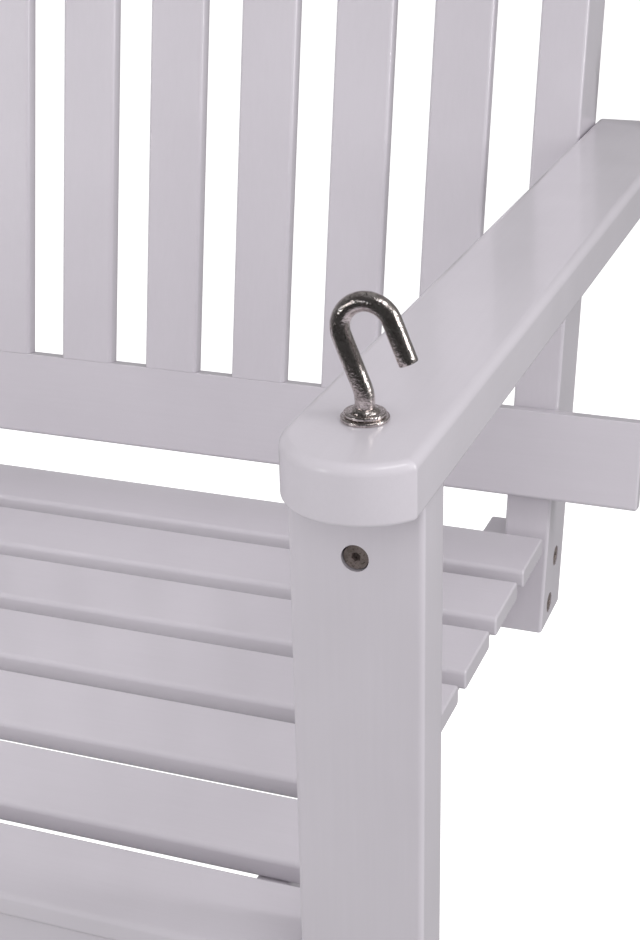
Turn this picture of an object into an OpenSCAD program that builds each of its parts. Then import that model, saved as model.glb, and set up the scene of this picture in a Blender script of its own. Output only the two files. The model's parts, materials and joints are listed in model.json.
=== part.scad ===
// Two-seat porch swing seat: slatted bench without legs, hung by four hooks in its arms.
// Millimetres. X runs along the bench, +Y to the back, +Z up; it stands on its four post ends.

/* [Overall] */
// Width over the two arms
bench_w = 1226; // [1100:2:1400]
// Height from the post ends to the top of the back
bench_h = 600; // [540:5:660]
// Recline of the back from vertical, in degrees
recline = 10.2; // [6:0.1:14]

/* [Arms and front posts] */
// Width of an arm
arm_w = 60; // [58:1:66]
// Thickness of an arm
arm_t = 25; // [20:1:32]
// Length of an arm
arm_l = 610.5; // [605:0.5:618]
// Height of an arm's top face
arm_top = 335; // [300:1:360]
// Radius of an arm's round front end, seen from above
nose_r = 33; // [33:1:45]
// Width of a front post along the bench
post_w = 57; // [50:1:58]
// Depth of a front post
post_d = 28; // [24:1:34]
// How far the arm reaches in front of its post
arm_overhang = 32.5; // [25:0.5:40]

/* [Seat] */
// Width of a seat slat
seat_slat_w = 53; // [45:0.5:56]
// Thickness of a seat slat
seat_slat_t = 13; // [10:1:18]
// Spacing of the seat slats, centre to centre
seat_pitch = 67.5; // [60:0.5:68]
// Height of the seat's top face
seat_top = 76; // [70:1:90]
// Distance from the arms' front to the first slat's front edge
seat_front = 29.5; // [25:0.5:38]
// Thickness of the two outer seat bearers
bearer_t = 18; // [16:1:28]
// Gap under the bearers, so that only the posts touch the ground
bearer_lift = 3; // [1:1:8]
// Thickness of the front rail and of the rear seat rail
rail_t = 22; // [18:1:26]

/* [Back] */
// Width of a back slat
back_slat_w = 40; // [30:1:45]
// Thickness of the back slats and of the two back rails
board_t = 12; // [12:1:16]
// Height of a back rail, along the back
back_rail_h = 60; // [50:1:80]
// Distance along the back from the ground line to the bottom rail
back_rail_s = 101; // [90:1:120]
// Distance from the arms' front to the back's front plane, at the ground
back_y = 478.7; // [476.5:0.1:493]
// Width of a rear post along the bench
rear_post_w = 31; // [26:1:36]
// Depth of a rear post, square to the back
rear_post_d = 52; // [45:1:55]

/* [Hooks] */
// Diameter of the hook's rod
rod_d = 8; // [8:1:8]
// Lean of the hook's rising leg and of its tip, in degrees
hook_lean = 22; // [15:1:28]
// Length of the straight leaning leg
hook_leg = 21.1; // [18:0.1:26]
// Radius of the loop, to the rod's centre
loop_r = 10.9; // [10:0.1:14]
// Length of the straight tip
tip_l = 17.7; // [12:0.1:22]
// Distance from an arm's outer edge to its rear hook
hook_rear_in = 16; // [14:1:18]
// Distance from an arm's rear end to its rear hook
hook_rear_back = 18; // [14:1:24]

/* [Hidden] */
BACK_SLATS = 15;
SEAT_SLATS = 7;
$fn = 32;

// Colours
paint = [0.78, 0.76, 0.79];
nickel = [0.62, 0.61, 0.58];
bronze = [0.36, 0.34, 0.32];
beech = [0.80, 0.66, 0.46];

// Small clearances
play = 0.2;       // between a fastener and its hole
hook_play = 0.3;  // between a turning hook and the wood around it
run_play = 0.05;  // radial, between the turning hook and its nut
butt = 0.05;      // between a board's end and the board beside it

// Edge roundings
edge_r = 3;
fine_r = 2;

// Larger than the whole bench
far = 2000;

// Main lines, with Y measured from the arms' front
arm_out = bench_w / 2;
arm_in = arm_out - arm_w;
post_mid_y = arm_overhang + post_d / 2;
post_h = arm_top - arm_t;
arm_mid_z = arm_top - arm_t / 2;
rear_post_in = arm_in - rear_post_w;
rear_post_mid = arm_in - rear_post_w / 2;
slat_bottom = seat_top - seat_slat_t;
bearer_h = slat_bottom - bearer_lift;
bearer_z = bearer_lift + bearer_h / 2;
bearer_back = 542.5;
bearer_chamfer = 6;
rail_front = arm_overhang;
rail_back = rail_front + rail_t;
rail_mid_y = rail_front + rail_t / 2;
back_s_top = bench_h / cos(recline);
back_t = board_t + rear_post_d;
back_depth = back_y + back_t * cos(recline) + back_s_top * sin(recline);
slats_s0 = back_rail_s + back_rail_h;
slats_s1 = back_s_top - back_rail_h;
back_gap = (2 * rear_post_in - BACK_SLATS * back_slat_w) / (BACK_SLATS + 1);

// Tenons of the back slats
tenon_w = 28;
tenon_t = 6;
tenon_l = 14;
tenon_room = 1;

// Hook fittings
// A front hook stands over the middle of its post.
hook_front_x = arm_in + post_w / 2;
hook_front_y = post_mid_y;
hook_rear_x = arm_out - hook_rear_in;
hook_rear_y = arm_l - hook_rear_back;
nut_z = post_h - 29;
nut_r = 5.8;
nut_l = 20;
nut_recess = 0.8;
nut_hex = 5;
nut_hex_deep = 3.5;
shank_front = 63;
shank_rear = 37;
hex_af = 13;
hex_t = 6.5;
washer_t = 1.6;
washer_r = 9.8;
collar_t = 1.8;
collar_r = 8.5;
collar_gap = 0.1;
bead_r = 6;
bead_h = 1.6;
bead_step = 0.1;
bend_r = 15;
base_h = 7.8;
bend_thin = 0.1;
bend_lap = 0.8;

// Bolts, barrel nuts, sleeve nuts, dowels and screws
bolt_r = 3;
bolt_head_r = 7;
bolt_head_t = 2.6;
bolt_sunk = 3;
bolt_hex = 4;
bolt_hex_floor = 0.6;
sleeve_r = 4.2;
sleeve_l = 38;
barrel_r = 5;
barrel_spare = 2;
front_bolt_l = 86;
front_barrel_x = arm_in - 24;
front_barrel_l = 15;
arm_bolt_l = 50;
arm_barrel_x = arm_in + 18;
arm_barrel_l = 18;
rear_bolts = [[528.5, 43], [513.5, 13.5]];
front_bolt_z = [15, 43];
arm_bolt_y = [arm_l - 48, arm_l - 22];
screw_r = 2.25;
screw_head_r = 4.5;
screw_cone = 2.6;
screw_sunk = 0.4;
screw_dz = 14;
screw_ds = 15;
dowel_r = 4;
dowel_dx = 18;
front_screw_l = 62;
end_screw_l = 54;
middle_screw_l = 56;
back_screw_l = 59;
slat_dowel_in = 7;
slat_dowel_down = 11;
arm_dowel_in = 12;
arm_dowel_down = 20;

// How far a cutting shape runs past the wood
over = 1;

// ---------- helpers ----------

// Rectangle with rounded corners, its low corner at the origin.
module rounded_rect(w, h, r) {
    translate([r, 0]) square([w - 2 * r, h]);
    translate([0, r]) square([w, h - 2 * r]);
    for (x = [r, w - r], y = [r, h - r]) translate([x, y]) circle(r);
}

// Bars whose long edges are rounded, their low corner at the origin.
module bar_x(size, r) {
    rotate([90, 0, 90]) linear_extrude(size.x) rounded_rect(size.y, size.z, r);
}
module bar_y(size, r) {
    translate([0, size.y, 0]) rotate([90, 0, 0]) linear_extrude(size.y) rounded_rect(size.x, size.z, r);
}
module bar_z(size, r) {
    linear_extrude(size.z) rounded_rect(size.x, size.y, r);
}

// From the arms' front line to the part's own frame, whose origin is under the middle.
module placed() translate([0, -back_depth / 2, 0]) children();

// side = 1 keeps what is drawn at +X, and side = -1 mirrors it to -X.
module on_side(side) {
    if (side < 0) mirror([1, 0, 0]) children();
    else children();
}

// The back's own frame: x along the bench, y square to the back, z up along it.
module in_back() translate([0, back_y, 0]) rotate([-recline, 0, 0]) children();

// Turn what points along +Z so that it points along +X, -X, +Y or -Y.
module to_px() rotate([0, 90, 0]) children();
module to_nx() rotate([0, -90, 0]) children();
module to_py() rotate([-90, 0, 0]) children();
module to_ny() rotate([90, 0, 0]) children();

function back_slat_x(i) = -rear_post_in + back_gap * i + back_slat_w * (i - 0.5);
function seat_slat_y(i) = seat_front + seat_pitch * (i - 1);
function bearer_x(k) = k * (rear_post_in - bearer_t / 2);
// The first slat is held by the front rail and the others by the bearers.
function dowel_y(i) = i == 1 ? rail_mid_y : seat_slat_y(i) + seat_slat_w / 2;
rear_rail_mid = dowel_y(SEAT_SLATS);

// ---------- fasteners and their holes, each along +Z from the wood's face at the origin ----------

// Screw with a flat countersunk head, and the hole for it.
module screw(l) {
    translate([0, 0, screw_sunk]) cylinder(r1 = screw_head_r, r2 = screw_r, h = screw_cone);
    translate([0, 0, screw_sunk]) cylinder(r = screw_r, h = l);
}
module screw_hole(l) {
    translate([0, 0, -over]) cylinder(r = screw_head_r + play, h = over + screw_sunk + screw_cone);
    translate([0, 0, -over]) cylinder(r = screw_r + play, h = l + 2 * over);
}

// Bolt with a low round head and a hex socket, sunk in its hole.
module bolt(l) {
    difference() {
        union() {
            translate([0, 0, bolt_sunk]) cylinder(r = bolt_r, h = l);
            translate([0, 0, bolt_sunk - bolt_head_t]) cylinder(r = bolt_head_r, h = bolt_head_t);
        }
        translate([0, 0, -over]) 
            cylinder(d = bolt_hex / cos(30), h = bolt_sunk + over - bolt_hex_floor, $fn = 6);
    }
}
module bolt_hole(l) {
    translate([0, 0, -over]) cylinder(r = bolt_head_r + play, h = over + bolt_sunk);
    translate([0, 0, -over]) cylinder(r = bolt_r + play, h = l + 2 * over);
}

// Barrel nut with its cross hole, which runs along X at the height given.
module barrel_nut(l, cross_z) {
    difference() {
        cylinder(r = barrel_r, h = l);
        translate([-barrel_r - over, 0, cross_z])
            to_px() cylinder(r = bolt_r + play, h = 2 * (barrel_r + over));
    }
}
module barrel_hole(l) {
    translate([0, 0, -over]) cylinder(r = barrel_r + play, h = l + over);
}

// Where each kind stands on the +X side, or on each of its places.
module at_front_bolts() {
    for (z = front_bolt_z) translate([arm_in + post_w, rail_mid_y, z]) to_nx() children();
}
module at_front_barrels() {
    for (z = front_bolt_z) translate([front_barrel_x, rail_back, z]) to_ny() children();
}
module at_rear_bolts() {
    for (p = rear_bolts) translate([arm_in, p[0], p[1]]) to_nx() children();
}
module at_sleeves() {
    for (p = rear_bolts) translate([rear_post_in - bearer_t, p[0], p[1]]) to_px() children();
}
module at_arm_bolts() {
    for (y = arm_bolt_y) translate([rear_post_in, y, arm_mid_z]) to_px() children();
}
module at_arm_barrels() {
    for (y = arm_bolt_y) translate([arm_barrel_x, y, post_h]) children();
}
module at_arm_dowels() {
    for (x = [-dowel_dx, dowel_dx]) translate([hook_front_x + x, post_mid_y, post_h]) children();
}
module at_back_screws() {
    for (s = [back_rail_s + screw_ds, slats_s0 - screw_ds, slats_s1 + screw_ds, back_s_top - screw_ds])
        translate([rear_post_mid, back_t, s]) to_ny() children();
}
module at_front_screws() {
    for (k = [-1, 0, 1], z = [bearer_z - screw_dz, bearer_z + screw_dz])
        translate([bearer_x(k), rail_front, z]) to_py() children();
}
module at_end_screws() {
    for (z = [bearer_z - screw_dz, bearer_z + screw_dz])
        translate([rear_post_in, rear_rail_mid, z]) to_nx() children();
}
module at_middle_screws() {
    for (z = [bearer_z - screw_dz, bearer_z + screw_dz])
        translate([0, rear_rail_mid + rail_t / 2, z]) to_ny() children();
}
module at_slat_dowels(k) {
    for (i = [1:SEAT_SLATS]) translate([bearer_x(k), dowel_y(i), slat_bottom]) children();
}

// ---------- wood ----------

module arm(side) {
    color(paint) placed() on_side(side) difference() {
        translate([0, 0, post_h]) linear_extrude(arm_t) {
            translate([arm_in, nose_r]) square([arm_w, arm_l - nose_r]);
            intersection() {
                translate([arm_in + nose_r, nose_r]) circle(nose_r);
                translate([arm_in, 0]) square([arm_w, nose_r]);
            }
        }
        for (p = [[hook_front_x, hook_front_y], [hook_rear_x, hook_rear_y]])
            translate([p[0], p[1], post_h - over]) cylinder(r = rod_d / 2 + hook_play, h = arm_t + 2 * over);
        at_arm_bolts() bolt_hole(arm_bolt_l + bolt_sunk);
        at_arm_barrels() barrel_hole(arm_barrel_l + barrel_spare);
        at_arm_dowels() translate([0, 0, -over]) cylinder(r = dowel_r + play, h = arm_dowel_in + 2 * over);
    }
}

module front_post(side) {
    color(paint) placed() on_side(side) difference() {
        translate([arm_in, arm_overhang, 0]) bar_z([post_w, post_d, post_h], fine_r);
        translate([hook_front_x, hook_front_y, arm_top - shank_front - over])
            cylinder(r = rod_d / 2 + hook_play, h = shank_front);
        translate([hook_front_x, arm_overhang - over, nut_z])
            to_py() cylinder(r = nut_r + play, h = nut_recess + nut_l + 2 * over);
        at_arm_dowels() translate([0, 0, -arm_dowel_down - over])
            cylinder(r = dowel_r + play, h = arm_dowel_down + 2 * over);
        at_front_bolts() bolt_hole(front_bolt_l);
    }
}

module rear_post(side) {
    color(paint) placed() on_side(side) difference() {
        intersection() {
            in_back() translate([rear_post_in, board_t, -bench_h / 10])
                bar_z([rear_post_w, rear_post_d, back_s_top + bench_h / 10], fine_r);
            cube([far, far, far]);
        }
        at_rear_bolts() bolt_hole(rear_post_w);
        at_sleeves() translate([0, 0, bearer_t - over])
            cylinder(r = sleeve_r + play, h = sleeve_l - bearer_t + 2 * over);
        at_arm_bolts() bolt_hole(rear_post_w);
        in_back() at_back_screws() screw_hole(rear_post_d);
    }
}

module back_rail(s0) {
    color(paint) placed() in_back() difference() {
        translate([-arm_out, 0, s0]) bar_x([bench_w, board_t, back_rail_h], edge_r);
        for (i = [1:BACK_SLATS])
            translate([back_slat_x(i) - tenon_w / 2 - play, (board_t - tenon_t) / 2 - play,
                       slats_s0 - tenon_l - tenon_room])
                cube([tenon_w + 2 * play, tenon_t + 2 * play,
                      slats_s1 - slats_s0 + 2 * (tenon_l + tenon_room)]);
        for (side = [-1, 1]) on_side(side) at_back_screws() screw_hole(back_screw_l + screw_sunk);
    }
}

module back_slat(i) {
    color(paint) placed() in_back() translate([back_slat_x(i), 0, 0]) {
        translate([-back_slat_w / 2, 0, slats_s0]) bar_z([back_slat_w, board_t, slats_s1 - slats_s0], edge_r);
        translate([-tenon_w / 2, (board_t - tenon_t) / 2, slats_s0 - tenon_l])
            cube([tenon_w, tenon_t, slats_s1 - slats_s0 + 2 * tenon_l]);
    }
}

module seat_slat(i) {
    half_l = arm_in - butt;
    color(paint) placed() difference() {
        translate([-half_l, seat_slat_y(i), slat_bottom])
            bar_x([2 * half_l, seat_slat_w, seat_slat_t], edge_r);
        for (k = [-1, 0, 1])
            translate([bearer_x(k), dowel_y(i), slat_bottom - over])
                cylinder(r = dowel_r + play, h = slat_dowel_in + 2 * over);
    }
}

module seat_bearer(k) {
    back = k == 0 ? rear_rail_mid - rail_t / 2 - butt : bearer_back;
    front = rail_back + butt;
    color(paint) placed() difference() {
        translate([bearer_x(k) - bearer_t / 2, front, bearer_lift])
            bar_y([bearer_t, back - front, bearer_h], fine_r);
        if (k != 0) {
            translate([-far / 2, bearer_back, slat_bottom - bearer_chamfer])
                rotate([45, 0, 0]) cube([far, 2 * bearer_chamfer, 2 * bearer_chamfer]);
            on_side(k) at_sleeves() translate([0, 0, -over])
                cylinder(r = sleeve_r + play, h = bearer_t + 2 * over);
            on_side(k) at_end_screws() screw_hole(bearer_t);
        }
        at_slat_dowels(k) translate([0, 0, -slat_dowel_down - over])
            cylinder(r = dowel_r + play, h = slat_dowel_down + 2 * over);
        at_front_screws() screw_hole(front_screw_l + screw_sunk);
        at_middle_screws() screw_hole(middle_screw_l + screw_sunk);
    }
}

module front_rail() {
    half_l = arm_in - butt;
    color(paint) placed() difference() {
        translate([-half_l, rail_front, bearer_lift]) bar_x([2 * half_l, rail_t, bearer_h], fine_r);
        for (side = [-1, 1]) on_side(side) {
            at_front_bolts() bolt_hole(front_bolt_l + bolt_sunk);
            at_front_barrels() barrel_hole(front_barrel_l + barrel_spare);
        }
        at_front_screws() screw_hole(rail_t);
        for (k = [-1, 0, 1])
            translate([bearer_x(k), dowel_y(1), slat_bottom - slat_dowel_down - over])
                cylinder(r = dowel_r + play, h = slat_dowel_down + 2 * over);
    }
}

module rear_seat_rail() {
    half_l = rear_post_in - bearer_t - butt;
    color(paint) placed() difference() {
        translate([-half_l, rear_rail_mid - rail_t / 2, bearer_lift])
            bar_x([2 * half_l, rail_t, bearer_h], fine_r);
        at_middle_screws() screw_hole(rail_t);
        for (side = [-1, 1]) on_side(side) at_end_screws() screw_hole(end_screw_l + screw_sunk);
        translate([0, rear_rail_mid, slat_bottom - slat_dowel_down - over])
            cylinder(r = dowel_r + play, h = slat_dowel_down + 2 * over);
    }
}

// ---------- hooks ----------

// The hook stands on Z at its own origin, at the arm's top face, and opens towards +X.
// The straight lengths run on a little into the bends, which are a hair thinner, so that all is one solid.
module hook_shape(shank) {
    r = rod_d / 2;
    lap = bend_lap;
    bend_x = -bend_r * (1 - cos(hook_lean));
    bend_z = base_h + bend_r * sin(hook_lean);
    loop_x = bend_x - hook_leg * sin(hook_lean) + loop_r * cos(hook_lean);
    loop_z = bend_z + hook_leg * cos(hook_lean) + loop_r * sin(hook_lean);
    translate([0, 0, -shank]) cylinder(r = r, h = shank + base_h + lap);
    translate([-bend_r, 0, base_h]) to_ny()
        rotate_extrude(angle = hook_lean) translate([bend_r, 0]) circle(r - bend_thin);
    translate([bend_x, 0, bend_z]) rotate([0, -hook_lean, 0])
        translate([0, 0, -lap]) cylinder(r = r, h = hook_leg + 2 * lap);
    translate([loop_x, 0, loop_z]) rotate([90, -hook_lean, 0])
        rotate_extrude(angle = 180) translate([loop_r, 0]) circle(r - bend_thin);
    translate([loop_x + loop_r * cos(hook_lean), 0, loop_z + loop_r * sin(hook_lean)])
        rotate([0, 180 - hook_lean, 0]) translate([0, 0, -lap]) cylinder(r = r, h = tip_l + lap);
    translate([0, 0, washer_t + collar_gap]) {
        cylinder(r = collar_r, h = collar_t);
        translate([0, 0, collar_t]) cylinder(r1 = bead_r, r2 = r + bead_step, h = bead_h);
    }
}

module hook(side, front) {
    color(nickel) placed() on_side(side)
        translate([front ? hook_front_x : hook_rear_x, front ? hook_front_y : hook_rear_y, arm_top])
            hook_shape(front ? shank_front : shank_rear);
}

module washer() {
    difference() {
        cylinder(r = washer_r, h = washer_t);
        translate([0, 0, -over]) cylinder(r = rod_d / 2 + hook_play, h = washer_t + 2 * over);
    }
}

module hook_washers() {
    color(nickel) placed() for (side = [-1, 1]) on_side(side) {
        translate([hook_front_x, hook_front_y, arm_top]) washer();
        translate([hook_rear_x, hook_rear_y, arm_top]) washer();
    }
}

module rear_hook_lower_washers() {
    color(nickel) placed() for (side = [-1, 1]) on_side(side)
        translate([hook_rear_x, hook_rear_y, post_h - washer_t]) washer();
}

module rear_hook_nuts() {
    color(nickel) placed() for (side = [-1, 1]) on_side(side)
        translate([hook_rear_x, hook_rear_y, post_h - washer_t - hex_t]) difference() {
            cylinder(d = hex_af / cos(30), h = hex_t, $fn = 6);
            translate([0, 0, -over]) cylinder(r = rod_d / 2 + run_play, h = hex_t + 2 * over);
        }
}

module front_barrel_nuts() {
    cross_y = hook_front_y - arm_overhang - nut_recess;
    color(bronze) placed() for (side = [-1, 1]) on_side(side)
        translate([hook_front_x, arm_overhang + nut_recess, nut_z]) difference() {
            to_py() cylinder(r = nut_r, h = nut_l);
            translate([0, cross_y, -nut_r - over]) cylinder(r = rod_d / 2 + run_play, h = 2 * (nut_r + over));
            translate([0, -over, 0]) to_py()
                cylinder(d = nut_hex / cos(30), h = over + nut_hex_deep, $fn = 6);
        }
}

// ---------- fasteners of the frame ----------

module rear_post_bolts() {
    color(bronze) placed() for (side = [-1, 1]) on_side(side) at_rear_bolts() bolt(rear_post_w);
}

module rear_post_sleeve_nuts() {
    color(bronze) placed() for (side = [-1, 1]) on_side(side) at_sleeves() difference() {
        union() {
            cylinder(r = sleeve_r, h = sleeve_l);
            translate([0, 0, -bolt_head_t]) cylinder(r = bolt_head_r, h = bolt_head_t);
        }
        translate([0, 0, over]) cylinder(r = bolt_r + play, h = sleeve_l);
    }
}

module front_post_bolts() {
    color(bronze) placed() for (side = [-1, 1]) on_side(side) at_front_bolts() bolt(front_bolt_l);
}

module front_rail_barrel_nuts() {
    color(bronze) placed() for (side = [-1, 1]) on_side(side) at_front_barrels()
        translate([0, 0, over]) barrel_nut(front_barrel_l, rail_t / 2 - over);
}

module arm_bolts() {
    color(bronze) placed() for (side = [-1, 1]) on_side(side) at_arm_bolts() bolt(arm_bolt_l);
}

module arm_barrel_nuts() {
    color(bronze) placed() for (side = [-1, 1]) on_side(side) at_arm_barrels()
        translate([0, 0, over]) barrel_nut(arm_barrel_l, arm_t / 2 - over);
}

module arm_dowels() {
    color(beech) placed() for (side = [-1, 1]) on_side(side) at_arm_dowels()
        translate([0, 0, -arm_dowel_down]) cylinder(r = dowel_r, h = arm_dowel_down + arm_dowel_in);
}

module seat_slat_dowels() {
    color(beech) placed() for (k = [-1, 0, 1]) at_slat_dowels(k)
        translate([0, 0, -slat_dowel_down]) cylinder(r = dowel_r, h = slat_dowel_down + slat_dowel_in);
}

module back_rail_screws() {
    color(nickel) placed() in_back() for (side = [-1, 1]) on_side(side) at_back_screws() screw(back_screw_l);
}

module front_rail_screws() {
    color(nickel) placed() at_front_screws() screw(front_screw_l);
}

module rear_rail_screws() {
    color(nickel) placed() {
        at_middle_screws() screw(middle_screw_l);
        for (side = [-1, 1]) on_side(side) at_end_screws() screw(end_screw_l);
    }
}

arm(-1);  // arm_left
arm(1);  // arm_right
front_post(-1);  // front_post_left
front_post(1);  // front_post_right
rear_post(-1);  // rear_post_left
rear_post(1);  // rear_post_right
seat_bearer(-1);  // seat_bearer_left
seat_bearer(0);  // seat_bearer_centre
seat_bearer(1);  // seat_bearer_right
front_rail();
rear_seat_rail();
back_rail(back_rail_s);  // back_bottom_rail
back_rail(slats_s1);  // back_top_rail
for (i = [1:BACK_SLATS])
    back_slat(i);
for (i = [1:SEAT_SLATS])
    seat_slat(i);
hook(-1, true);  // hook_front_left
hook(1, true);  // hook_front_right
hook(-1, false);  // hook_rear_left
hook(1, false);  // hook_rear_right
hook_washers();
front_barrel_nuts();
rear_hook_nuts();
rear_hook_lower_washers();
rear_post_bolts();
rear_post_sleeve_nuts();
front_post_bolts();
front_rail_barrel_nuts();
arm_bolts();
arm_barrel_nuts();
arm_dowels();
back_rail_screws();
seat_slat_dowels();
front_rail_screws();
rear_rail_screws();
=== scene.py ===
import json
import math
import random

import bmesh
import bpy
from mathutils import Matrix, Vector


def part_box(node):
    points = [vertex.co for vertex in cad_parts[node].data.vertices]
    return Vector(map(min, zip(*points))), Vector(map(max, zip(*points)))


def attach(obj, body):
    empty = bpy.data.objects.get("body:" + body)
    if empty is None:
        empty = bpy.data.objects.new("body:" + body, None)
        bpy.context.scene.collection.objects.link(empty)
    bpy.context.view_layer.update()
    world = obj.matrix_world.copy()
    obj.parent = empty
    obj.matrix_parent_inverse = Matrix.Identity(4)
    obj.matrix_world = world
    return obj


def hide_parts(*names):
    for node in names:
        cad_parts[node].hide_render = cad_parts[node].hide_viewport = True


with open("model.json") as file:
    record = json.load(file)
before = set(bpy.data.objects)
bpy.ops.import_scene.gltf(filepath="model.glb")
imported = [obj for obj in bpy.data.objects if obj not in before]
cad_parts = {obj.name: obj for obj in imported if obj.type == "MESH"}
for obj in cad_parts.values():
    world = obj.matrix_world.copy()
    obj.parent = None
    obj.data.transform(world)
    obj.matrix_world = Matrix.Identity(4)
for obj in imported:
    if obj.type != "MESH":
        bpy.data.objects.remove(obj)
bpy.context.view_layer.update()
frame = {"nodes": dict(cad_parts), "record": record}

MM = 0.001
SIDES = (("left", -1), ("right", 1))
BACK_SLATS = 15
SEAT_SLATS = 7
scene = bpy.context.scene


# ---------- places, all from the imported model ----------

def size_of(node):
    lo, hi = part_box(node)
    return Vector(lo), Vector(hi)


def middle(node):
    lo, hi = size_of(node)
    return (lo + hi) / 2


RAIL_H, BOARD_T, POST_DEPTH = 60 * MM, 12 * MM, 52 * MM
rail_low, rail_high = middle("back_bottom_rail"), middle("back_top_rail")
recline = math.atan2(rail_high.y - rail_low.y, rail_high.z - rail_low.z)
UP_BACK = Vector((0, math.sin(recline), math.cos(recline)))     # along the back, upwards
OUT_BACK = Vector((0, math.cos(recline), -math.sin(recline)))   # square to the back, to the rear
# The back's own frame has its origin in the back's front plane, level with the bottom rail's middle.
back_origin = Vector((0, rail_low.y, rail_low.z)) - OUT_BACK * (BOARD_T / 2)
slats_low = RAIL_H / 2
slats_high = (rail_high - rail_low).length - RAIL_H / 2
back_top = (rail_high - rail_low).length + RAIL_H / 2


# ---------- mesh building ----------

ROUND_STEPS = 48        # sides of a hole or a turned part
CORNER_STEPS = 6        # steps round a board's corner
RIM_STEPS = 5           # steps over a board's eased rim
NOSE_STEPS, TIP_STEPS = 48, 8
LEAST_R = 0.05 * MM     # a corner never gets sharper than this
OVERSHOOT = 3 * MM      # a cutter starts this far outside the wood
SHARP_ANGLE = 35


def across_x(u, v, w):
    return Vector((w, u, v))


def upright(u, v, w):
    return Vector((u, v, w))


def back_upright(u, v, w):
    return Vector((u, 0, 0)) + back_origin + OUT_BACK * v + UP_BACK * w


def back_across(u, v, w):
    return Vector((w, 0, 0)) + back_origin + OUT_BACK * u + UP_BACK * v


def rectangle(lo, hi):
    return [(lo[0], lo[1]), (hi[0], lo[1]), (hi[0], hi[1]), (lo[0], hi[1])]


def outline(points, radii, inset):
    """A convex anticlockwise outline with rounded corners, moved inwards by inset."""
    count = len(points)
    lines = []
    for i in range(count):
        a, b = Vector(points[i]), Vector(points[(i + 1) % count])
        d = (b - a).normalized()
        inward = Vector((-d.y, d.x))
        lines.append((a + inward * inset, d, inward))
    out = []
    for i in range(count):
        p0, d0, n0 = lines[i - 1]
        p1, d1, n1 = lines[i]
        cross = d0.x * d1.y - d0.y * d1.x
        t = ((p1.x - p0.x) * d1.y - (p1.y - p0.y) * d1.x) / cross
        corner = p0 + d0 * t
        r = max(radii[i] - inset, LEAST_R)
        centre = corner + (n0 + n1) * (r / (1 + n0.dot(n1)))
        turn = math.acos(max(-1, min(1, d0.dot(d1))))
        start = math.atan2(-n0.y, -n0.x)
        for k in range(CORNER_STEPS + 1):
            a = start + turn * k / CORNER_STEPS
            out.append((centre.x + r * math.cos(a), centre.y + r * math.sin(a)))
    return out


def skin(bm, rings, cap_start=True, cap_end=True):
    """Joins rings of equal length with quads, and closes the ends."""
    made = [[bm.verts.new(p) for p in ring] for ring in rings]
    n = len(made[0])
    for a, b in zip(made, made[1:]):
        for i in range(n):
            j = (i + 1) % n
            bm.faces.new((a[i], a[j], b[j], b[i]))
    if cap_start:
        bm.faces.new(list(reversed(made[0])))
    if cap_end:
        bm.faces.new(made[-1])


def finished(bm, name, material, sharp=SHARP_ANGLE):
    bmesh.ops.recalc_face_normals(bm, faces=bm.faces)
    mesh = bpy.data.meshes.new(name)
    bm.to_mesh(mesh)
    bm.free()
    mesh.materials.append(material)
    piece = bpy.data.objects.new(name, mesh)
    scene.collection.objects.link(piece)
    shade(mesh, sharp)
    return piece


def shade(mesh, sharp):
    mesh.polygons.foreach_set("use_smooth", [True] * len(mesh.polygons))
    mesh.set_sharp_from_angle(angle=math.radians(sharp))
    mesh.update()


def soft_normals(piece):
    m = piece.modifiers.new("even_faces", "WEIGHTED_NORMAL")
    m.mode = "FACE_AREA"
    m.weight = 60
    m.keep_sharp = True


def rounded(points, radii):
    """The outline as a function of how far it is moved inwards."""
    return lambda inset: outline(points, radii, inset)


def nose_outline(lo, hi, nose, corner, rear):
    """An armrest from above: a round nose from the low-u side, cut off with a small corner at hi."""
    def at(inset):
        big = nose - inset
        cx, cy = lo[0] + nose, lo[1] + nose
        r = max(corner - inset, LEAST_R)
        x = hi[0] - inset - r
        y = cy - math.sqrt((big - r) ** 2 - (x - cx) ** 2)
        meet = math.atan2(y - cy, x - cx)
        points = []
        for k in range(NOSE_STEPS + 1):
            a = -math.pi + (meet + math.pi) * k / NOSE_STEPS
            points.append((cx + big * math.cos(a), cy + big * math.sin(a)))
        for k in range(1, TIP_STEPS + 1):
            a = meet * (1 - k / TIP_STEPS)
            points.append((x + r * math.cos(a), y + r * math.sin(a)))
        r = max(rear - inset, LEAST_R)
        y = hi[1] - inset - r
        for x, start in ((hi[0] - inset - r, 0), (lo[0] + inset + r, 90)):
            for k in range(7):
                a = math.radians(start + 15 * k)
                points.append((x + r * math.cos(a), y + r * math.sin(a)))
        return points
    return at


def slab(name, shape, w0, w1, ease0, ease1, place, material, low_shear=0.0):
    """A board: an outline run from w0 to w1, its two rims eased. low_shear slants the low end with v."""
    rings = []
    for low in (True, False):
        ease = ease0 if low else ease1
        turns = range(RIM_STEPS + 1) if low else range(RIM_STEPS, -1, -1)
        for k in turns:
            a = math.pi / 2 * k / RIM_STEPS
            inset = ease * (1 - math.sin(a))
            rise = ease * (1 - math.cos(a))
            ring = []
            for u, v in shape(inset):
                w = w0 + v * low_shear + rise if low else w1 - rise
                ring.append(place(u, v, w))
            rings.append(ring)
    bm = bmesh.new()
    skin(bm, rings)
    return finished(bm, name, material)


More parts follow.
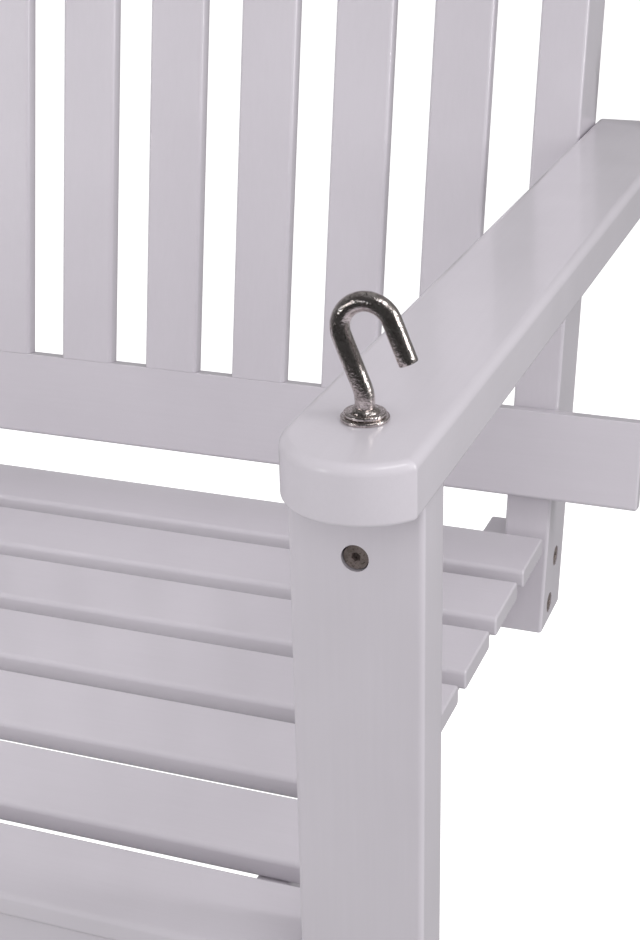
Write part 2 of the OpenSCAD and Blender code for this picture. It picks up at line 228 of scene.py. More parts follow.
def drill(piece, holes):
    """Cuts round holes: (mouth, direction into the wood, radius, depth).

    All holes are one cutter, so where two of them cross, their common part stays solid.
    """
    bm = bmesh.new()
    for mouth, into, radius, depth in holes:
        turn = Vector(into).to_track_quat("Z", "Y").to_matrix()
        rings = []
        for w in (-OVERSHOOT, depth):
            rings.append([Vector(mouth) + turn @ Vector((radius * math.cos(a), radius * math.sin(a), w))
                          for a in (math.tau * k / ROUND_STEPS for k in range(ROUND_STEPS))])
        skin(bm, rings)
    bmesh.ops.recalc_face_normals(bm, faces=bm.faces)
    cutter_mesh = bpy.data.meshes.new("cutter")
    bm.to_mesh(cutter_mesh)
    bm.free()
    cutter = bpy.data.objects.new("cutter", cutter_mesh)
    scene.collection.objects.link(cutter)
    m = piece.modifiers.new("holes", "BOOLEAN")
    m.operation = "DIFFERENCE"
    m.solver = "EXACT"
    m.object = cutter
    cut = bpy.data.meshes.new_from_object(piece.evaluated_get(bpy.context.evaluated_depsgraph_get()))
    piece.modifiers.clear()
    piece.data = cut
    cut.name = piece.name
    bpy.data.objects.remove(cutter)
    shade(cut, SHARP_ANGLE)


def stands_for(piece, node, body="bench"):
    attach(piece, body)
    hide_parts(node)


# ---------- materials ----------

def map_range(tree, value, low, high, out_low, out_high):
    n = tree.nodes.new("ShaderNodeMapRange")
    for key, v in (("From Min", low), ("From Max", high), ("To Min", out_low), ("To Max", out_high)):
        n.inputs[key].default_value = v
    tree.links.new(value, n.inputs["Value"])
    return n.outputs["Result"]


class Nodes:
    """A short way to write a material's nodes."""

    def __init__(self, name):
        self.material = bpy.data.materials.new(name)
        self.material.use_nodes = True
        self.tree = self.material.node_tree
        self.shader = self.tree.nodes["Principled BSDF"]

    def add(self, kind, **inputs):
        node = self.tree.nodes.new(kind)
        for key, value in inputs.items():
            node.inputs[key].default_value = value
        return node

    def link(self, a, b):
        self.tree.links.new(a, b)

    def noise(self, coords, scale, detail=3.0, rough=0.5):
        n = self.add("ShaderNodeTexNoise", Scale=scale, Detail=detail, Roughness=rough)
        self.link(coords, n.inputs["Vector"])
        return n.outputs["Fac"]

    def ramp(self, value, low, high, out_low, out_high):
        return map_range(self.tree, value, low, high, out_low, out_high)

    def mix(self, factor, a, b):
        n = self.add("ShaderNodeMix")
        n.data_type = "RGBA"
        self.link(factor, n.inputs["Factor"])
        for socket, value in ((n.inputs[6], a), (n.inputs[7], b)):
            if isinstance(value, tuple):
                socket.default_value = (*value, 1)
            else:
                self.link(value, socket)
        return n.outputs[2]

    def maths(self, what, a, b):
        n = self.add("ShaderNodeMath")
        n.operation = what
        for socket, value in zip(n.inputs, (a, b)):
            if isinstance(value, (int, float)):
                socket.default_value = value
            else:
                self.link(value, socket)
        return n.outputs[0]

    def bump(self, heights):
        """heights: (height, depth in metres) pairs, stacked."""
        normal = None
        for height, depth in heights:
            n = self.add("ShaderNodeBump", Strength=1.0, Distance=depth)
            self.link(height, n.inputs["Height"])
            if normal is not None:
                self.link(normal, n.inputs["Normal"])
            normal = n.outputs["Normal"]
        self.link(normal, self.shader.inputs["Normal"])


PAINT = (0.572, 0.538, 0.585)
PAINT_SHADE = (0.540, 0.507, 0.552)
NICKEL, NICKEL_DULL = (0.80, 0.735, 0.715), (0.47, 0.415, 0.40)
STEEL, STEEL_DULL = (0.42, 0.345, 0.325), (0.25, 0.205, 0.19)
BEECH_DARK, BEECH_LIGHT = (0.62, 0.42, 0.22), (0.76, 0.58, 0.36)


def paint(name, along, turn=0.0):
    """White lacquer on wood, with the grain just showing through along one axis."""
    m = Nodes(name)
    where = m.add("ShaderNodeTexCoord").outputs["Object"]
    grain_map = m.add("ShaderNodeMapping")
    grain_map.inputs["Rotation"].default_value = (turn, 0, 0)
    grain_map.inputs["Scale"].default_value = tuple(0.035 if axis == along else 1.0 for axis in "XYZ")
    m.link(where, grain_map.inputs["Vector"])
    grain = m.noise(grain_map.outputs["Vector"], 420, detail=4, rough=0.6)
    peel = m.noise(where, 520, detail=1.5, rough=0.4)
    cloud = m.noise(where, 9, detail=3)
    handled = m.noise(where, 26, detail=2, rough=0.5)
    streaks = m.maths("ADD", m.maths("MULTIPLY", cloud, 0.75), m.maths("MULTIPLY", grain, 0.25))
    tone = m.ramp(streaks, 0.36, 0.64, 0, 1)
    m.link(m.mix(tone, PAINT_SHADE, PAINT), m.shader.inputs["Base Color"])
    m.link(m.ramp(handled, 0.35, 0.65, 0.30, 0.38), m.shader.inputs["Roughness"])
    m.shader.inputs["Specular IOR Level"].default_value = 0.5
    m.shader.inputs["Coat Weight"].default_value = 0.65
    m.shader.inputs["Coat Roughness"].default_value = 0.13
    m.bump([(grain, 0.00007), (peel, 0.00004)])
    return m.material


def metal(name, bright, dull, rough_low, rough_high, scratch, metallic=1.0):
    m = Nodes(name)
    where = m.add("ShaderNodeTexCoord").outputs["Object"]
    patches = m.noise(where, 260, detail=5, rough=0.65)
    specks = m.noise(where, 1150, detail=2, rough=0.6)
    stain = m.ramp(patches, 0.40, 0.66, 0, 1)
    spot = m.ramp(specks, 0.55, 0.68, 0, 1)
    base = m.mix(stain, bright, dull)
    m.link(m.mix(spot, base, tuple(c * 0.55 for c in dull)), m.shader.inputs["Base Color"])
    wear = m.maths("ADD", m.maths("MULTIPLY", patches, 0.6), m.maths("MULTIPLY", specks, 0.4))
    m.link(m.ramp(wear, 0.35, 0.68, rough_low, rough_high), m.shader.inputs["Roughness"])
    m.shader.inputs["Metallic"].default_value = metallic
    m.bump([(patches, scratch), (specks, scratch * 2)])
    return m.material


def bare_wood(name):
    m = Nodes(name)
    where = m.add("ShaderNodeTexCoord").outputs["Object"]
    stretch = m.add("ShaderNodeMapping")
    stretch.inputs["Scale"].default_value = (1, 1, 0.1)
    m.link(where, stretch.inputs["Vector"])
    grain = m.noise(stretch.outputs["Vector"], 700, detail=4)
    m.link(m.mix(grain, BEECH_DARK, BEECH_LIGHT), m.shader.inputs["Base Color"])
    m.shader.inputs["Roughness"].default_value = 0.7
    m.bump([(grain, 0.0001)])
    return m.material


paint_x = paint("paint_grain_x", "X")
paint_y = paint("paint_grain_y", "Y")
paint_z = paint("paint_grain_z", "Z")
paint_back = paint("paint_grain_back", "Z", turn=recline)
nickel = metal("nickel_steel", NICKEL, NICKEL_DULL, 0.12, 0.30, scratch=0.00009)
dark_steel = metal("dark_steel", STEEL, STEEL_DULL, 0.30, 0.48, scratch=0.00004, metallic=0.7)
beech = bare_wood("beech")


# ---------- wood ----------

def board_x(node, radius=3.0, ease=1.5):
    lo, hi = size_of(node)
    r = radius * MM
    piece = slab(node + "_board", rounded(rectangle((lo.y, lo.z), (hi.y, hi.z)), [r] * 4), lo.x, hi.x,
                 ease * MM, ease * MM, across_x, paint_x)
    stands_for(piece, node)
    return piece


# Radii of the metal heads, and of the holes that they sit in.
BOLT_R, BOLT_HOLE = 7 * MM, 7.2 * MM
BARREL_R, BARREL_HOLE = 5 * MM, 5.2 * MM
SCREW_R, SCREW_HOLE = 4.5 * MM, 4.7 * MM
NUT_R, NUT_HOLE = 5.35 * MM, 5.85 * MM
HEAD_DEPTH = 3 * MM
SHANK_HOLE = 4.3 * MM   # in wood
SHANK_BORE = 4.05 * MM  # in a nut

arm_front = size_of("arm_right")[0].y
arm_under = size_of("arm_right")[0].z
arm_over = size_of("arm_right")[1].z
arm_mid_z = (arm_under + arm_over) / 2
nut_z = middle("front_barrel_nuts").z
front_bolt_y = middle("front_post_bolts").y
arm_barrel_x = size_of("arm_barrel_nuts")[1].x - BARREL_R
rail_barrel_x = size_of("front_rail_barrel_nuts")[1].x - BARREL_R
FRONT_BOLT_Z = (15 * MM, 43 * MM)
REAR_BOLTS = ((528.5, 43), (513.5, 13.5))
ARM_BOLT_Y = (562.5, 588.5)
BEARER_SCREW_Z = (19 * MM, 47 * MM)
SCREW_S = 15 * MM
RAIL_SCREWS = (-SCREW_S, SCREW_S, slats_high + SCREW_S, back_top - SCREW_S)
joints = {j["name"]: Vector(j["pos_m"]) for j in frame["record"]["behaviour"]["joints"]}
HOOKS = [(end, name, side) for end in ("front", "rear") for name, side in SIDES]


def hook_place(end, name):
    p = joints["hook_%s_%s_turn" % (end, name)]
    return Vector((p.x, p.y, arm_over))


for name, side in SIDES:
    # Armrests: the nose is round from the inner side, and the top edge is eased more than the bottom edge.
    node = "arm_" + name
    lo, hi = size_of(node)
    inner, outer = sorted((abs(lo.x), abs(hi.x)))
    piece = slab(node + "_board", nose_outline((inner, lo.y), (outer, hi.y), 33 * MM, 2.5 * MM, 4 * MM),
                 lo.z, hi.z, 2 * MM, 4.5 * MM, lambda u, v, w, side=side: Vector((side * u, v, w)), paint_y)
    holes = [((side * arm_barrel_x, lo.y + y * MM, lo.z), (0, 0, 1), BARREL_HOLE, 20 * MM)
             for y in ARM_BOLT_Y]
    holes += [(hook_place(end, name), (0, 0, -1), SHANK_HOLE, hi.z - lo.z + OVERSHOOT)
              for end in ("front", "rear")]
    drill(piece, holes)
    soft_normals(piece)
    stands_for(piece, node)

for name, side in SIDES:
    node = "front_post_" + name
    lo, hi = size_of(node)
    outer = hi.x if side > 0 else lo.x
    piece = slab(node + "_board", rounded(rectangle((lo.x, lo.y), (hi.x, hi.y)), [2.6 * MM] * 4), lo.z, hi.z,
                 1.5 * MM, 0.3 * MM, upright, paint_z)
    shank = hook_place("front", name)
    holes = [((shank.x, lo.y, nut_z), (0, 1, 0), NUT_HOLE, 21 * MM),
             ((shank.x, shank.y, hi.z), (0, 0, -1), SHANK_HOLE, 39 * MM)]
    holes += [((outer, front_bolt_y, z), (-side, 0, 0), BOLT_HOLE, HEAD_DEPTH) for z in FRONT_BOLT_Z]
    drill(piece, holes)
    soft_normals(piece)
    stands_for(piece, node)

for name, side in SIDES:
    node = "rear_post_" + name
    lo, hi = size_of(node)
    outer, inner = (hi.x, lo.x) if side > 0 else (lo.x, hi.x)
    front, rear = BOARD_T, BOARD_T + POST_DEPTH
    # The low end is cut level: along the back, the ground line rises with the depth.
    ground = -back_origin.z / math.cos(recline)
    piece = slab(node + "_board", rounded(rectangle((lo.x, front), (hi.x, rear)), [2.4 * MM] * 4), ground,
                 back_top, 1.5 * MM, 1.5 * MM, back_upright, paint_back, low_shear=math.tan(recline))
    holes = [((outer, arm_front + y * MM, z * MM), (-side, 0, 0), BOLT_HOLE, HEAD_DEPTH)
             for y, z in REAR_BOLTS]
    holes += [((inner, arm_front + y * MM, arm_mid_z), (side, 0, 0), BOLT_HOLE, HEAD_DEPTH)
              for y in ARM_BOLT_Y]
    middle_x = (lo.x + hi.x) / 2
    for s in RAIL_SCREWS:
        holes.append((back_upright(middle_x, rear, s), -OUT_BACK, SCREW_HOLE, HEAD_DEPTH))
    drill(piece, holes)
    soft_normals(piece)
    stands_for(piece, node)

for node in ["seat_slat_%d" % i for i in range(1, SEAT_SLATS + 1)]:
    soft_normals(board_x(node))

piece = board_x("front_rail", 2.2, 0.5)
lo, hi = size_of("front_rail")
screw_x = [middle("seat_bearer_" + n).x for n in ("left", "centre", "right")]
holes = [((x, lo.y, z), (0, 1, 0), SCREW_HOLE, HEAD_DEPTH) for x in screw_x for z in BEARER_SCREW_Z]
holes += [((side * rail_barrel_x, hi.y, z), (0, -1, 0), BARREL_HOLE, 17 * MM)
          for _, side in SIDES for z in FRONT_BOLT_Z]
drill(piece, holes)
soft_normals(piece)

piece = board_x("rear_seat_rail", 2.2, 0.5)
lo, hi = size_of("rear_seat_rail")
drill(piece, [((0, hi.y, z), (0, -1, 0), SCREW_HOLE, HEAD_DEPTH) for z in BEARER_SCREW_Z])
soft_normals(piece)
rear_rail_y = (lo.y + hi.y) / 2

for name, side in (*SIDES, ("centre", 0)):
    node = "seat_bearer_" + name
    lo, hi = size_of(node)
    cut = 6 * MM if side else 0.5 * MM
    side_view = [(lo.y, lo.z), (hi.y, lo.z), (hi.y, hi.z - cut), (hi.y - cut, hi.z), (lo.y, hi.z)]
    piece = slab(node + "_board", rounded(side_view, [1 * MM, 2.2 * MM, 0.6 * MM, 0.6 * MM, 1 * MM]),
                 lo.x, hi.x, 2 * MM, 2 * MM, across_x, paint_y)
    if side:
        outer = hi.x if side > 0 else lo.x
        drill(piece, [((outer, rear_rail_y, z), (-side, 0, 0), SCREW_HOLE, HEAD_DEPTH)
                      for z in BEARER_SCREW_Z])
    soft_normals(piece)
    stands_for(piece, node)

# The rails are hardly rounded where the slats meet them, so that the paint runs on.
OPEN_EDGE, SEAM_EDGE = 2.6 * MM, 0.7 * MM
for node, s, low, high in (("back_bottom_rail", 0.0, OPEN_EDGE, SEAM_EDGE),
                           ("back_top_rail", (slats_high + back_top) / 2, SEAM_EDGE, OPEN_EDGE)):
    lo, hi = size_of(node)
    side_view = rectangle((0, s - RAIL_H / 2), (BOARD_T, s + RAIL_H / 2))
    piece = slab(node + "_board", rounded(side_view, [low, low, high, high]), lo.x, hi.x,
                 1.8 * MM, 1.8 * MM, back_across, paint_x)
    soft_normals(piece)
    stands_for(piece, node)

for i in range(1, BACK_SLATS + 1):
    node = "back_slat_%d" % i
    lo, hi = size_of(node)
    piece = slab(node + "_board", rounded(rectangle((lo.x, 0), (hi.x, BOARD_T)), [2.8 * MM] * 4),
                 slats_low, slats_high, 0.3 * MM, 0.3 * MM, back_upright, paint_back)
    soft_normals(piece)
    stands_for(piece, node)


# ---------- turned and swept metal ----------

def round_ring(r, w, n=ROUND_STEPS):
    return [Vector((r * math.cos(math.tau * k / n), r * math.sin(math.tau * k / n), w)) for k in range(n)]


def hex_ring(flats, w, n=ROUND_STEPS, limit=1.0):
    """A hexagon of that width across flats, its corners cut off at the radius limit."""
    out = []
    for k in range(n):
        a = math.tau * k / n
        off = (a % (math.pi / 3)) - math.pi / 6
        r = min(flats / 2 / math.cos(off), limit)
        out.append(Vector((r * math.cos(a), r * math.sin(a), w)))
    return out


def cross_ring(reach, half, w):
    """A cross with arms of that reach and half width."""
    out = []
    for k in range(ROUND_STEPS):
        a = math.tau * k / ROUND_STEPS
        off = abs(((a + math.pi / 4) % (math.pi / 2)) - math.pi / 4)
        r = min(reach / math.cos(off), half / max(math.sin(off), 1e-6))
        out.append(Vector((r * math.cos(a), r * math.sin(a), w)))
    return out


def put(rings, origin, axis, spin=0.0):
    """Moves rings drawn along +Z to a place and a direction."""
    turn = Vector(axis).to_track_quat("Z", "Y").to_matrix() @ Matrix.Rotation(spin, 3, "Z")
    return [[Vector(origin) + turn @ p for p in ring] for ring in rings]


def socket_head(r, deep, socket, depth, chamfer=0.4 * MM):
    """A round head seen from +Z at w = 0, with a hexagon socket, and its body going down to -deep."""
    return [round_ring(r, -deep), round_ring(r, -chamfer), round_ring(r - chamfer * 0.35, -chamfer * 0.35),
            round_ring(r - chamfer, 0), round_ring(r * 0.72, 0), hex_ring(socket + 0.5 * MM, 0),
            hex_ring(socket, -0.3 * MM), hex_ring(socket, -depth), round_ring(socket * 0.12, -depth * 1.15)]


def screw_head(r, shank):
    """A flat countersunk head with a cross recess."""
    return [round_ring(0.4 * shank, -12 * MM), round_ring(shank, -10 * MM), round_ring(shank, -2.6 * MM),
            round_ring(r, -0.15 * MM), round_ring(r - 0.15 * MM, 0), round_ring(r * 0.7, 0),
            cross_ring(r * 0.55, r * 0.17, 0), cross_ring(r * 0.42, r * 0.13, -1.6 * MM)]


def group(node, sets, material, bores=()):
    """One piece for all the parts of a CAD node, with cross bores if any. It rides on the bench."""
    bm = bmesh.new()
    for rings in sets:
        skin(bm, rings)
    piece = finished(bm, node + "_detail", material)
    if bores:
        drill(piece, bores)
    soft_normals(piece)
    stands_for(piece, node)


rng = random.Random(7)

# Bolt heads sunk in the posts, 0.4 mm under the paint.
SUNK = 0.4 * MM
BOLT_HEAD = socket_head(BOLT_R, 12 * MM, 4 * MM, 2.4 * MM)
SLEEVE_HEAD = 2.6 * MM
SCREW = screw_head(SCREW_R, 2.2 * MM)
rear_outer = size_of("rear_post_right")[1].x
rear_inner = size_of("rear_post_right")[0].x
front_outer = size_of("front_post_right")[1].x
group("rear_post_bolts",
      [put(BOLT_HEAD,
           (side * (rear_outer - SUNK), arm_front + y * MM, z * MM), (side, 0, 0), rng.uniform(0, 1))
       for _, side in SIDES for y, z in REAR_BOLTS], dark_steel)
group("front_post_bolts",
      [put(BOLT_HEAD,
           (side * (front_outer - SUNK), front_bolt_y, z), (side, 0, 0), rng.uniform(0, 1))
       for _, side in SIDES for z in FRONT_BOLT_Z], dark_steel)
group("arm_bolts",
      [put(BOLT_HEAD,
           (side * (rear_inner + SUNK), arm_front + y * MM, arm_mid_z), (-side, 0, 0), rng.uniform(0, 1))
       for _, side in SIDES for y in ARM_BOLT_Y], dark_steel)

# Sleeve nuts: low heads proud of the side bearers' inner faces.
bearer_inner = size_of("seat_bearer_right")[0].x
group("rear_post_sleeve_nuts",
      [put(socket_head(BOLT_R, SLEEVE_HEAD, 4 * MM, 2.0 * MM, 0.8 * MM),
           (side * (bearer_inner - SLEEVE_HEAD), arm_front + y * MM, z * MM), (-side, 0, 0),
           rng.uniform(0, 1))
       for _, side in SIDES for y, z in REAR_BOLTS], dark_steel)

# The front barrel nuts, a little under the posts' front faces.
nut_front = size_of("front_barrel_nuts")[0].y
group("front_barrel_nuts",
      [put(socket_head(NUT_R, 20 * MM, 3.5 * MM, 3.2 * MM),
           (hook_place("front", name).x, nut_front + SUNK, nut_z), (0, -1, 0), 0.35)
       for name, _ in SIDES], dark_steel,
      bores=[((hook_place("front", name).x, hook_place("front", name).y, nut_z + 6 * MM), (0, 0, -1),
              SHANK_BORE, 15 * MM) for name, _ in SIDES])

# Barrel nuts that show in the front rail's back and in the armrests' undersides.
rail_back = size_of("front_rail")[1].y
group("front_rail_barrel_nuts",
      [put(socket_head(BARREL_R, 15 * MM, 3 * MM, 1.5 * MM, 0.5 * MM),
           (side * rail_barrel_x, rail_back - 1 * MM, z), (0, 1, 0), rng.uniform(0, 1))
       for _, side in SIDES for z in FRONT_BOLT_Z], dark_steel)
group("arm_barrel_nuts",
      [put(socket_head(BARREL_R, 18 * MM, 3 * MM, 1.5 * MM, 0.5 * MM),
           (side * arm_barrel_x, arm_front + y * MM, arm_under + 1 * MM), (0, 0, -1), rng.uniform(0, 1))
       for _, side in SIDES for y in ARM_BOLT_Y], dark_steel)

# Screws.
post_mid = (rear_outer + rear_inner) / 2
group("back_rail_screws",
      [put(SCREW,
           back_upright(side * post_mid, BOARD_T + POST_DEPTH - SUNK, s), OUT_BACK, rng.uniform(0, 1.5))
       for _, side in SIDES for s in RAIL_SCREWS],
      nickel)
rail_front = size_of("front_rail")[0].y
group("front_rail_screws",
      [put(SCREW, (x, rail_front + SUNK, z), (0, -1, 0), rng.uniform(0, 1.5))
       for x in screw_x for z in BEARER_SCREW_Z], nickel)
rear_rail_back = size_of("rear_seat_rail")[1].y
bearer_outer = size_of("seat_bearer_right")[1].x
group("rear_rail_screws",
      [put(SCREW, (0, rear_rail_back - SUNK, z), (0, 1, 0), rng.uniform(0, 1.5))
       for z in BEARER_SCREW_Z]
      + [put(SCREW, (side * (bearer_outer - SUNK), rear_rail_y, z), (side, 0, 0),
             rng.uniform(0, 1.5)) for _, side in SIDES for z in BEARER_SCREW_Z], nickel)


def ring_body(outer, inner, low, high, rim=0.4 * MM):
    """A washer's section, gone round once and closed on itself."""
    k = rim * 0.3
    return [round_ring(inner, low + rim), round_ring(inner + k, low + k), round_ring(inner + rim, low),
            round_ring(outer - rim, low), round_ring(outer - k, low + k), round_ring(outer, low + rim),
            round_ring(outer, high - rim), round_ring(outer - k, high - k), round_ring(outer - rim, high),
            round_ring(inner + rim, high), round_ring(inner + k, high - k), round_ring(inner, high - rim)]


def closed_group(node, sets, material):
    bm = bmesh.new()
    for rings in sets:
        skin(bm, rings + [rings[0]], cap_start=False, cap_end=False)
    bmesh.ops.remove_doubles(bm, verts=bm.verts, dist=1e-6)
    piece = finished(bm, node + "_detail", material, 50)
    stands_for(piece, node)


WASHER_R, WASHER_BORE, WASHER_T = 9.8 * MM, 4.3 * MM, 1.6 * MM
HEX_FLATS, HEX_HEIGHT = 13 * MM, 6.5 * MM
closed_group("hook_washers",
             [put(ring_body(WASHER_R, WASHER_BORE, 0, WASHER_T), hook_place(end, name), (0, 0, 1))
              for end, name, _ in HOOKS], nickel)
closed_group("rear_hook_lower_washers",
             [put(ring_body(WASHER_R, WASHER_BORE, -WASHER_T, 0),
                  hook_place("rear", name) - Vector((0, 0, arm_over - arm_under)), (0, 0, 1))
              for name, _ in SIDES], nickel)


def hex_nut(flats, height, bore):
    corner = flats / 2 / math.cos(math.pi / 6)
    rows = [(0, corner * 0.895), (0.35 * MM, corner * 0.94), (0.8 * MM, corner), (height - 0.8 * MM, corner),
            (height - 0.35 * MM, corner * 0.94), (height, corner * 0.895)]
    rings = [hex_ring(flats, w, 96, limit) for w, limit in rows]
    inside = [(height, bore + 0.5 * MM), (height - 0.5 * MM, bore), (0.5 * MM, bore), (0, bore + 0.5 * MM)]
    return rings + [round_ring(r, w, 96) for w, r in inside]


nut_top = size_of("rear_hook_nuts")[1].z
closed_group("rear_hook_nuts",
             [put(hex_nut(HEX_FLATS, HEX_HEIGHT, SHANK_BORE),
                  (hook_place("rear", name).x, hook_place("rear", name).y, nut_top - HEX_HEIGHT), (0, 0, 1))
              for name, _ in SIDES], nickel)

for node in ("arm_dowels", "seat_slat_dowels"):
    frame["nodes"][node].data.materials.clear()
    frame["nodes"][node].data.materials.append(beech)


# ---------- hooks ----------

ROD = 4 * MM                # radius of the rod
BASE = 7.8 * MM             # upright part over the collar
BEND = 15 * MM              # radius of the bend into the leaning leg
LEAN = math.radians(22)
LEG = 21.1 * MM
LOOP = 10.9 * MM            # radius of the loop, to the rod's middle
TIP = 17.7 * MM             # straight open end


def hook_path():
    """The hook's path in its own plane, collar to tip: points (x outwards, z up), each with its heading."""
    path = [((0, BASE * k / 6), math.pi / 2) for k in range(7)]
    for k in range(1, 9):
        a = LEAN * k / 8
        path.append(((-BEND * (1 - math.cos(a)), BASE + BEND * math.sin(a)), math.pi / 2 + a))
    (x, z), heading = path[-1]
    for k in range(1, 9):
        path.append(((x + LEG * k / 8 * math.cos(heading), z + LEG * k / 8 * math.sin(heading)), heading))
    (x, z), heading = path[-1]
    cx, cz = x + LOOP * math.cos(LEAN), z + LOOP * math.sin(LEAN)
    for k in range(1, 49):
        a = math.pi + LEAN - math.pi * k / 48
        path.append(((cx + LOOP * math.cos(a), cz + LOOP * math.sin(a)), a - math.pi / 2))
    (x, z), heading = path[-1]
    for k in range(1, 7):
        path.append(((x + TIP * k / 6 * math.cos(heading), z + TIP * k / 6 * math.sin(heading)), heading))
    return path


def rod_ring(point, heading, r, n=40):
    """A circle across the path. The path's plane is x, z."""
    x, z = point
    side = Vector((-math.sin(heading), 0, math.cos(heading)))
    return [Vector((x, 0, z)) + side * (r * math.cos(a)) + Vector((0, r * math.sin(a), 0))
            for a in (math.tau * k / n for k in range(n))]


def hook_mesh(bm, shank, seed):
    rnd = random.Random(seed)
    rings = []
    # Threaded lower end, then the plain shank up to the collar.
    pitch, thread = 1.25 * MM, 0.34 * MM
    threaded = 24 * MM
    steps = int(threaded / (pitch / 8))
    for k in range(steps + 1):
        z = -shank + threaded * k / steps
        fade = min(1.0, k / 8)
        ring = []
        for p in rod_ring((0, z), math.pi / 2, 1.0):
            a = math.atan2(p.y, p.x)
            phase = (z / pitch - a / math.tau) % 1.0
            depth = thread * abs(2 * phase - 1) * min(1.0, (steps - k) / 6)
            r = ROD - depth - (1 - fade) * 0.6 * MM
            ring.append(Vector((r * math.cos(a), r * math.sin(a), z)))
        rings.append(ring)
    path = hook_path()
    for point, heading in path[:-1]:
        rings.append(rod_ring(point, heading, ROD))
    # The cut end, its edge just broken.
    (x, z), heading = path[-1]
    for back, less in ((0.35, 0.0), (0.12, 0.12), (0.0, 0.40), (0.0, 1.2)):
        step = -back * MM
        rings.append(rod_ring((x + step * math.cos(heading), z + step * math.sin(heading)), heading,
                              ROD - less * MM))
    skin(bm, rings)
    # Collar with a rounded rim.
    z0, z1, r, rim = 1.7 * MM, 3.5 * MM, 8.5 * MM, 0.6 * MM
    collar = [(ROD - 0.3 * MM, z0), (r - rim, z0)]
    quarter = [math.pi / 2 * k / 5 for k in range(6)]
    collar += [(r - rim + rim * math.sin(a), z0 + rim - rim * math.cos(a)) for a in quarter[1:]]
    collar += [(r - rim + rim * math.cos(a), z1 - rim + rim * math.sin(a)) for a in quarter]
    # The bead where the rod meets the collar: hollow, then swelling on to the rod.
    collar += [(7.0 * MM, z1), (6.0 * MM, z1 + 0.05 * MM), (5.7 * MM, z1 + 0.45 * MM),
               (5.3 * MM, z1 + 0.95 * MM), (4.8 * MM, z1 + 1.35 * MM), (4.2 * MM, z1 + 1.6 * MM),
               (ROD - 0.3 * MM, z1 + 1.62 * MM)]
    bumps = [(rnd.uniform(0, math.tau), rnd.uniform(0.25, 0.6)) for _ in range(5)]
    rows = []
    for r, w in collar:
        row = []
        for k in range(64):
            a = math.tau * k / 64
            swell = 0.0
            if w > z1 + 0.2 * MM and r > ROD:
                for at, width in bumps:
                    off = math.atan2(math.sin(a - at), math.cos(a - at))
                    swell += 0.22 * MM * math.exp(-(off / width) ** 2)
            row.append(Vector(((r + swell) * math.cos(a), (r + swell) * math.sin(a), w)))
        rows.append(row)
    skin(bm, rows + [rows[0]], cap_start=False, cap_end=False)
    bmesh.ops.remove_doubles(bm, verts=bm.verts, dist=1e-6)


for count, (end, name, side) in enumerate(HOOKS):
    node = "hook_%s_%s" % (end, name)
    lo, hi = size_of(node)
    bm = bmesh.new()
    hook_mesh(bm, arm_over - lo.z, 11 + count)
    if side < 0:
        bmesh.ops.scale(bm, vec=(-1, 1, 1), verts=bm.verts)
    bmesh.ops.translate(bm, vec=hook_place(end, name), verts=bm.verts)
    piece = finished(bm, node + "_rod", nickel, 50)
    stands_for(piece, node, node)


# ---------- floor, light and camera ----------

def area(name, place, aim, size, power, ratio=1.0, along=None, spread=180, mirrored=True):
    """A soft box facing aim. along is the direction of its long side. Polished faces show it if mirrored."""
    data = bpy.data.lights.new(name, "AREA")
    data.shape = "RECTANGLE"
    data.size = size
    data.size_y = size * ratio
    data.energy = power
    data.spread = math.radians(spread)
    lamp = bpy.data.objects.new(name, data)
    back = (Vector(place) - Vector(aim)).normalized()
    side = Vector(along or (1, 0, 0))
    side = (side - back * side.dot(back)).normalized()
    turn = Matrix((side, back.cross(side), back)).transposed().to_4x4()
    lamp.matrix_world = Matrix.Translation(place) @ turn
    lamp.visible_camera = False
    lamp.visible_glossy = mirrored
    scene.collection.objects.link(lamp)


FLOOR_Z = -0.9              # the seat hangs above the floor
bm = bmesh.new()
bmesh.ops.create_grid(bm, x_segments=8, y_segments=8, size=30)
floor_mesh = bpy.data.meshes.new("floor")
bm.to_mesh(floor_mesh)
bm.free()
floor = bpy.data.objects.new("floor", floor_mesh)
floor.location = (0, 0, FLOOR_Z)
scene.collection.objects.link(floor)
m = Nodes("pale_floor")
m.shader.inputs["Base Color"].default_value = (0.90, 0.90, 0.90, 1)
m.shader.inputs["Roughness"].default_value = 0.9
m.shader.inputs["Specular IOR Level"].default_value = 0.1
m.shader.inputs["Emission Color"].default_value = (1, 1, 1, 1)
m.shader.inputs["Emission Strength"].default_value = 0.45
floor_mesh.materials.append(m.material)
floor.visible_glossy = False
floor.visible_diffuse = False

AMBIENT_LOW, AMBIENT_HIGH = 0.84, 0.76
MIRROR_FRONT, MIRROR_BACK = 0.04, 0.22


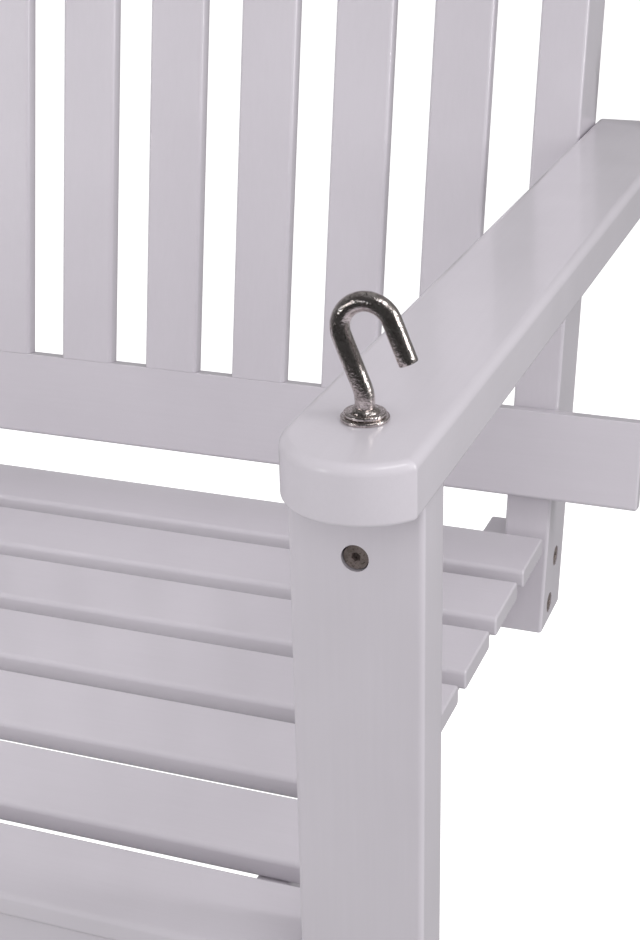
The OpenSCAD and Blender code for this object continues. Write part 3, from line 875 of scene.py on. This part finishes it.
def studio_world():
    """Light from all round, a little stronger from below. The camera sees it plain white.

    Polished faces see a dim surround instead, which falls off to a dark front.
    """
    world = bpy.data.worlds.new("studio")
    scene.world = world
    world.use_nodes = True
    tree = world.node_tree
    background = tree.nodes["Background"]
    background.inputs["Color"].default_value = (1, 1, 1, 1)
    direction = tree.nodes.new("ShaderNodeTexCoord")
    split = tree.nodes.new("ShaderNodeSeparateXYZ")
    tree.links.new(direction.outputs["Generated"], split.inputs[0])

    def blend(axis, low, high, at_low, at_high):
        return map_range(tree, split.outputs[axis], low, high, at_low, at_high)

    rays = tree.nodes.new("ShaderNodeLightPath")
    choose = tree.nodes.new("ShaderNodeMix")
    tree.links.new(blend("Z", -0.3, 0.3, AMBIENT_LOW, AMBIENT_HIGH), choose.inputs["A"])
    tree.links.new(rays.outputs["Is Glossy Ray"], choose.inputs["Factor"])
    tree.links.new(blend("Y", -0.6, 0.25, MIRROR_FRONT, MIRROR_BACK), choose.inputs["B"])
    seen = tree.nodes.new("ShaderNodeMix")
    tree.links.new(rays.outputs["Is Camera Ray"], seen.inputs["Factor"])
    tree.links.new(choose.outputs["Result"], seen.inputs["A"])
    seen.inputs["B"].default_value = 1.0
    tree.links.new(seen.outputs["Result"], background.inputs["Strength"])


studio_world()

area("key", (1.15, -2.3, 1.7), (0.3, -0.1, 0.3), 1.2, 9.5, ratio=0.8, mirrored=False)
area("behind", (-0.6, 2.6, 1.5), (0, 0.2, 0.3), 2.0, 14, ratio=0.8, mirrored=False)
area("right_side", (2.2, -0.12, 0.85), (0.5, 0, 0.3), 1.0, 12, ratio=0.3, along=(0, 0, 1))
# Low from the left, over the seat and on to the back.
area("fill", (-0.9, -1.1, 0.55), (0.15, 0.2, 0.2), 0.6, 1.0, spread=60, mirrored=False)
# A long box up to the right draws the bright line on the armrest's nose.
area("strip", (1.47, -0.56, 2.04), (0.6, -0.3, 0.33), 1.1, 7, ratio=0.36, along=(0.63, 0.76, -0.2))
# A small box to the left draws the highlight on the hook's crown.
area("crown", (-0.31, -1.45, 0.65), (0.58, -0.28, 0.38), 0.30, 0.05, ratio=0.5, spread=24)

camera_data = bpy.data.cameras.new("camera")
camera = bpy.data.objects.new("camera", camera_data)
scene.collection.objects.link(camera)
scene.camera = camera
camera_data.sensor_width = 36
camera_data.sensor_fit = "AUTO"
camera_data.lens = 65.57
camera_data.clip_start = 0.02
camera_data.clip_end = 200
# The camera's place and its three axes.
camera_at = (0.78646, arm_front - 0.5368, 0.58371)
right = Vector((0.93646, 0.35026, -0.02085))
down = Vector((0.12227, -0.38172, -0.91624))
ahead = Vector((-0.32887, 0.85556, -0.40043))
turn = Matrix((right, -down, -ahead)).transposed().to_4x4()
camera.matrix_world = Matrix.Translation(camera_at) @ turn

scene.view_settings.view_transform = "Standard"
scene.view_settings.look = "None"
scene.view_settings.exposure = 0.0

bpy.context.view_layer.update()
